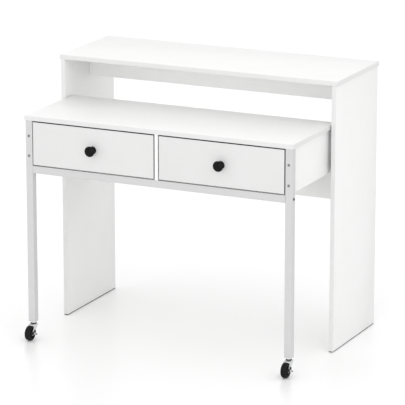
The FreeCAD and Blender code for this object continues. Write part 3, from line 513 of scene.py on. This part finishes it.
def laminated_board(node, facing, tape, front_sheet=0.0):
    """A board as it is made: a core faced on both sides, and tape glued on its four narrow edges.

    With front_sheet, a sheet of that thickness covers the front of both the core and the tape.
    """
    low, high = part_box(node)
    size = high - low
    thin = min((X, Y, Z), key=lambda axis: size[axis])
    long, short = sorted((axis for axis in (X, Y, Z) if axis != thin), key=lambda axis: -size[axis])

    core_low, core_high = low.copy(), high.copy()
    for axis in (long, short):
        core_low[axis] += TAPE
        core_high[axis] -= TAPE
    core = bmesh.new()
    if front_sheet:
        # the sheet is added first, and the core and the tape then start behind it
        behind = low.y + front_sheet
        add_box(core, low, (high.x, behind, high.z), TAPE_ROUND, ROUND_STEPS)
        low.y = behind
        core_low.y = behind
    add_box(core, core_low, core_high, CORE_ROUND)
    piece(f"{node}_core", core, node, facing)

    tapes = bmesh.new()
    for axis, other in ((long, short), (short, long)):
        for at_high in (False, True):
            tape_low, tape_high = low.copy(), high.copy()
            if axis == long:
                tape_low[axis], tape_high[axis] = low[axis] + TAPE, high[axis] - TAPE
            if at_high:
                tape_low[other] = high[other] - TAPE
            else:
                tape_high[other] = low[other] + TAPE
            add_box(tapes, tape_low, tape_high, TAPE_ROUND, ROUND_STEPS)
    piece(f"{node}_edge_tape", tapes, node, tape, replace=False)


LAMINATED = [
    "top_shelf", "side_panel_left", "side_panel_right", "upper_rail", "lower_rail", "desk_top",
    "desk_side_left", "desk_side_right",
]


# ---------------------------------------------------------------- knobs


def knob(side):
    """A round pull: a flange on the drawer front, a waist, and a domed head.

    The outline's points are shares of the knob's length and of its radius.
    """
    node = f"drawer_{side}_knob"
    low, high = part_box(node)
    centre = (low + high) / 2
    radius = (high.x - low.x) / 2
    length = high.y - low.y
    outline = [
        (0.0, 0.0), (0.0, 0.735), (0.07, 0.743), (0.125, 0.63), (0.2, 0.42), (0.33, 0.325), (0.487, 0.355),
        (0.587, 0.525), (0.64, 0.743), (0.693, 0.915), (0.76, 1.0), (0.82, 1.0), (0.893, 0.91), (0.95, 0.72),
        (0.977, 0.53), (0.99, 0.36), (0.996, 0.2), (1.0, 0.0),
    ]
    outline = [(along * length, share * radius) for along, share in outline]
    mesh = bmesh.new()
    profile = rounded(outline, 1.2 * MM, steps=5)
    add_turned(mesh, profile, (centre.x, high.y, centre.z), (0, -1, 0), segments=FINE)
    piece(f"knob_{side}", mesh, node, sharp=50.0)


# ---------------------------------------------------------------- casters

TREAD = 6.5 * MM         # depth of the tread on the core
SHOULDER = 2.8 * MM      # width and depth of the tread's rounded shoulders
GROOVE = 0.35 * MM       # half the width of a groove
GROOVE_AT = 3.0 * MM     # from the middle of the tread

BORE = 2.6 * MM          # radius of the hole for the axle
HUB = 6.6 * MM           # radius of the hub
WEB = 2.4 * MM           # half the thickness of the web
RIM = 7.2 * MM           # half the width of the rim
RIM_INSIDE = 16.4 * MM   # radius of the rim's inner edge
RIBS = 8
RIB = 0.8 * MM           # half the thickness of a rib


def caster_tyre(side):
    """The tread: rounded shoulders, and two fine moulding grooves round the running surface."""
    node = f"caster_tyre_{side}"
    low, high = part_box(node)
    centre = (low + high) / 2
    half = (high.x - low.x) / 2
    radius = (high.z - low.z) / 2
    groove = [
        (-GROOVE_AT - GROOVE, radius), (-GROOVE_AT, radius - 1.2 * GROOVE), (-GROOVE_AT + GROOVE, radius),
    ]
    outline = [
        (-half, radius - TREAD), (-half, radius - SHOULDER), (-half + 1.0 * MM, radius - 1.2 * MM),
        (-half + SHOULDER, radius - 0.35 * MM), *groove,
    ]
    mesh = bmesh.new()
    profile = rounded(mirrored(outline), 0.5 * MM, steps=3, closed=True)
    add_turned(mesh, profile, centre, (1, 0, 0), segments=FINE)
    piece(f"tyre_{side}", mesh, node, sharp=50.0)


def caster_core(side):
    """The moulded wheel centre: rim, web, hub, and ribs between hub and rim on both faces."""
    node = f"caster_core_{side}"
    low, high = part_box(node)
    centre = (low + high) / 2
    half = (high.x - low.x) / 2
    radius = (high.z - low.z) / 2
    outline = [
        (-half, BORE), (-half, HUB), (-3.2 * MM, 7.8 * MM), (-WEB, 8.6 * MM), (-WEB, 15.0 * MM),
        (-3.4 * MM, 15.9 * MM), (-RIM, RIM_INSIDE), (-RIM, radius),
    ]
    mesh = bmesh.new()
    add_turned(mesh, rounded(mirrored(outline), 0.4 * MM, steps=2, closed=True), centre, (1, 0, 0))
    for face in (-1, 1):
        for number in range(RIBS):
            rib = bmesh.new()
            add_box(rib, (face * 2.0 * MM, -RIB, HUB), (face * 6.2 * MM, RIB, 16.6 * MM), bevel=0.3 * MM)
            turn = Matrix.Rotation(2 * math.pi * number / RIBS, 4, "X")
            rib.transform(Matrix.Translation(centre) @ turn)
            data = bpy.data.meshes.new("rib")
            rib.to_mesh(data)
            rib.free()
            mesh.from_mesh(data)
            bpy.data.meshes.remove(data)
    piece(f"wheel_core_{side}", mesh, node, sharp=40.0)


def swivel_race(side):
    """The rolled edge of the swivel bearing on the fork's crown, with the gap of its ball race."""
    fork_low, fork_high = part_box(f"caster_fork_{side}")
    stem_low, stem_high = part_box("caster_stems")
    x = (fork_low.x + fork_high.x) / 2
    y = (stem_low.y + stem_high.y) / 2
    base = fork_high.z
    outline = [
        (0.0, 5.0 * MM), (0.0, 11.4 * MM), (0.5 * MM, 11.8 * MM), (1.1 * MM, 11.5 * MM),
        (1.3 * MM, 10.9 * MM), (1.3 * MM, 10.3 * MM), (0.15 * MM, 10.3 * MM), (0.15 * MM, 5.0 * MM),
    ]
    mesh = bmesh.new()
    add_turned(mesh, rounded(outline, 0.25 * MM, steps=3, closed=True), (x, y, base), (0, 0, 1))
    piece(f"swivel_race_{side}", mesh, f"caster_fork_{side}", replace=False, sharp=45.0)


# ---------------------------------------------------------------- fasteners and covers


SAME_PLACE = 1e-6    # metres, between mesh corners that are one
AT_END = 0.05 * MM   # between a mesh corner and the end of a disc that it lies on


def cover_caps():
    """A flat cap with a rounded rim over each cam of the fixed frame."""
    node = "cam_covers"
    mesh = bmesh.new()
    for centre, direction, radius, height in loose_discs(node):
        outline = [
            (0, 0), (0, radius), (0.45 * height, radius), (0.8 * height, 0.93 * radius),
            (height, 0.7 * radius), (height, 0),
        ]
        add_turned(mesh, rounded(outline, 0.25 * MM, steps=3), centre, direction, segments=COARSE)
    piece("cam_cover_caps", mesh, node, sharp=50.0)


def loose_discs(node):
    """Each separate flat disc of a CAD node, as (centre of its base, way that it faces, radius, height).

    The base is the wider of a disc's two ends, because the CAD rounds the rim of its free face.
    """
    mesh = bmesh.new()
    mesh.from_mesh(frame["nodes"][node].data)
    bmesh.ops.remove_doubles(mesh, verts=mesh.verts, dist=SAME_PLACE)
    found = []
    unseen = set(mesh.verts)
    while unseen:
        stack = [unseen.pop()]
        island = set(stack)
        while stack:
            for edge in stack.pop().link_edges:
                for vertex in edge.verts:
                    if vertex in unseen:
                        unseen.discard(vertex)
                        island.add(vertex)
                        stack.append(vertex)
        places = [v.co.copy() for v in island]
        low = Vector([min(p[a] for p in places) for a in (X, Y, Z)])
        high = Vector([max(p[a] for p in places) for a in (X, Y, Z)])
        size = high - low
        thin = min((X, Y, Z), key=lambda axis: size[axis])
        wide = max(size)
        ends = {}
        for at in (low[thin], high[thin]):
            near = [p for p in places if abs(p[thin] - at) < AT_END]
            spans = [max(p[a] for p in near) - min(p[a] for p in near) for a in (X, Y, Z) if a != thin]
            ends[at] = max(spans)
        base = max(ends, key=ends.get)
        direction = Vector((0, 0, 0))
        direction[thin] = 1.0 if base == low[thin] else -1.0
        centre = (low + high) / 2
        centre[thin] = base
        found.append((centre, direction, wide / 2, size[thin]))
    mesh.free()
    found.sort(key=lambda disc: tuple(round(c, 5) for c in disc[0]))
    return found


# ---------------------------------------------------------------- studio

CAMERA_AZIMUTH = 25.33       # degrees to the right of straight in front
CAMERA_ELEVATION = 14.76     # degrees above level
CAMERA_DISTANCE = 9.477      # metres from what it looks at
CAMERA_LENS = 253.45         # millimetres
SENSOR_WIDTH = 36.0          # millimetres
CAMERA_REACH = 200.0         # metres, past the far edge of the floor
CAMERA_AIM = Vector((0.0183, 0.0021, -0.0027))   # from the middle of the object's box


def towards(azimuth, elevation):
    """The direction from the object to a place at that azimuth and elevation, in degrees."""
    a, e = math.radians(azimuth), math.radians(elevation)
    return Vector((math.sin(a) * math.cos(e), -math.cos(a) * math.cos(e), math.sin(e)))


def make_camera():
    low, high = CAD_BOUNDS
    aim = (Vector(low) + Vector(high)) / 2 + CAMERA_AIM
    data = bpy.data.cameras.new("camera")
    data.sensor_width = SENSOR_WIDTH
    data.lens = CAMERA_LENS
    data.clip_end = CAMERA_REACH
    made = bpy.data.objects.new("camera", data)
    out = towards(CAMERA_AZIMUTH, CAMERA_ELEVATION)
    made.location = aim + out * CAMERA_DISTANCE
    made.rotation_euler = out.to_track_quat("Z", "Y").to_euler()
    bpy.context.scene.collection.objects.link(made)
    bpy.context.scene.camera = made


LIGHT_DISTANCE = 6.0         # metres, which makes no difference to a sun's light


def soft_light(name, azimuth, elevation, spread, strength):
    """An even light from a wide patch of the surround, spread degrees across."""
    data = bpy.data.lights.new(name, "SUN")
    data.angle = math.radians(spread)
    data.energy = strength
    made = bpy.data.objects.new(name, data)
    out = towards(azimuth, elevation)
    made.location = out * LIGHT_DISTANCE
    made.rotation_euler = out.to_track_quat("Z", "Y").to_euler()
    bpy.context.scene.collection.objects.link(made)


FLOOR_HALF = 40.0            # metres from the middle of the floor to its edge
SURROUND_STRENGTH = 1.035


def make_studio():
    """A pale floor, an even white surround and soft lights."""
    world = bpy.data.worlds.new("studio")
    world.use_nodes = True
    background = world.node_tree.nodes["Background"]
    background.inputs["Color"].default_value = (1.0, 1.0, 1.0, 1.0)
    background.inputs["Strength"].default_value = SURROUND_STRENGTH
    bpy.context.scene.world = world
    bpy.context.scene.view_settings.view_transform = "Standard"

    mesh = bmesh.new()
    half = FLOOR_HALF
    corners = [(-half, -half), (half, -half), (half, half), (-half, half)]
    mesh.faces.new([mesh.verts.new((x, y, 0.0)) for x, y in corners])
    data = bpy.data.meshes.new("floor")
    mesh.to_mesh(data)
    mesh.free()
    data.materials.append(studio_floor())
    floor = bpy.data.objects.new("floor", data)
    bpy.context.scene.collection.objects.link(floor)

    soft_light("right", 60.0, 35.0, 40.0, 0.16)
    soft_light("front", 0.0, 50.0, 50.0, 0.07)
    soft_light("low", 8.0, 10.5, 12.0, 0.43)


# ---------------------------------------------------------------- all of it


def dress_cad_nodes():
    """Gives every CAD node its own material, or else the material of its slot."""
    for name, node in frame["nodes"].items():
        for slot in node.material_slots:
            slot.material = NODE_MATERIALS.get(name) or SLOT_MATERIALS[slot_of_node(name)]


make_camera()
make_studio()
dress_cad_nodes()
for node in LAMINATED:
    laminated_board(node, MELAMINE, EDGING)
for side in SIDES:
    # the greyer front foil is painted shade for the dimmer light on the drawer fronts
    # the near-black edge tape paints the shade of the gaps round each drawer front
    laminated_board(f"drawer_{side}_front", SHADED_FRONT_FOIL, PAINTED_GAP_SHADE_EDGING, FRONT_SHEET)
    knob(side)
    caster_tyre(side)
    caster_core(side)
    swivel_race(side)
cover_caps()
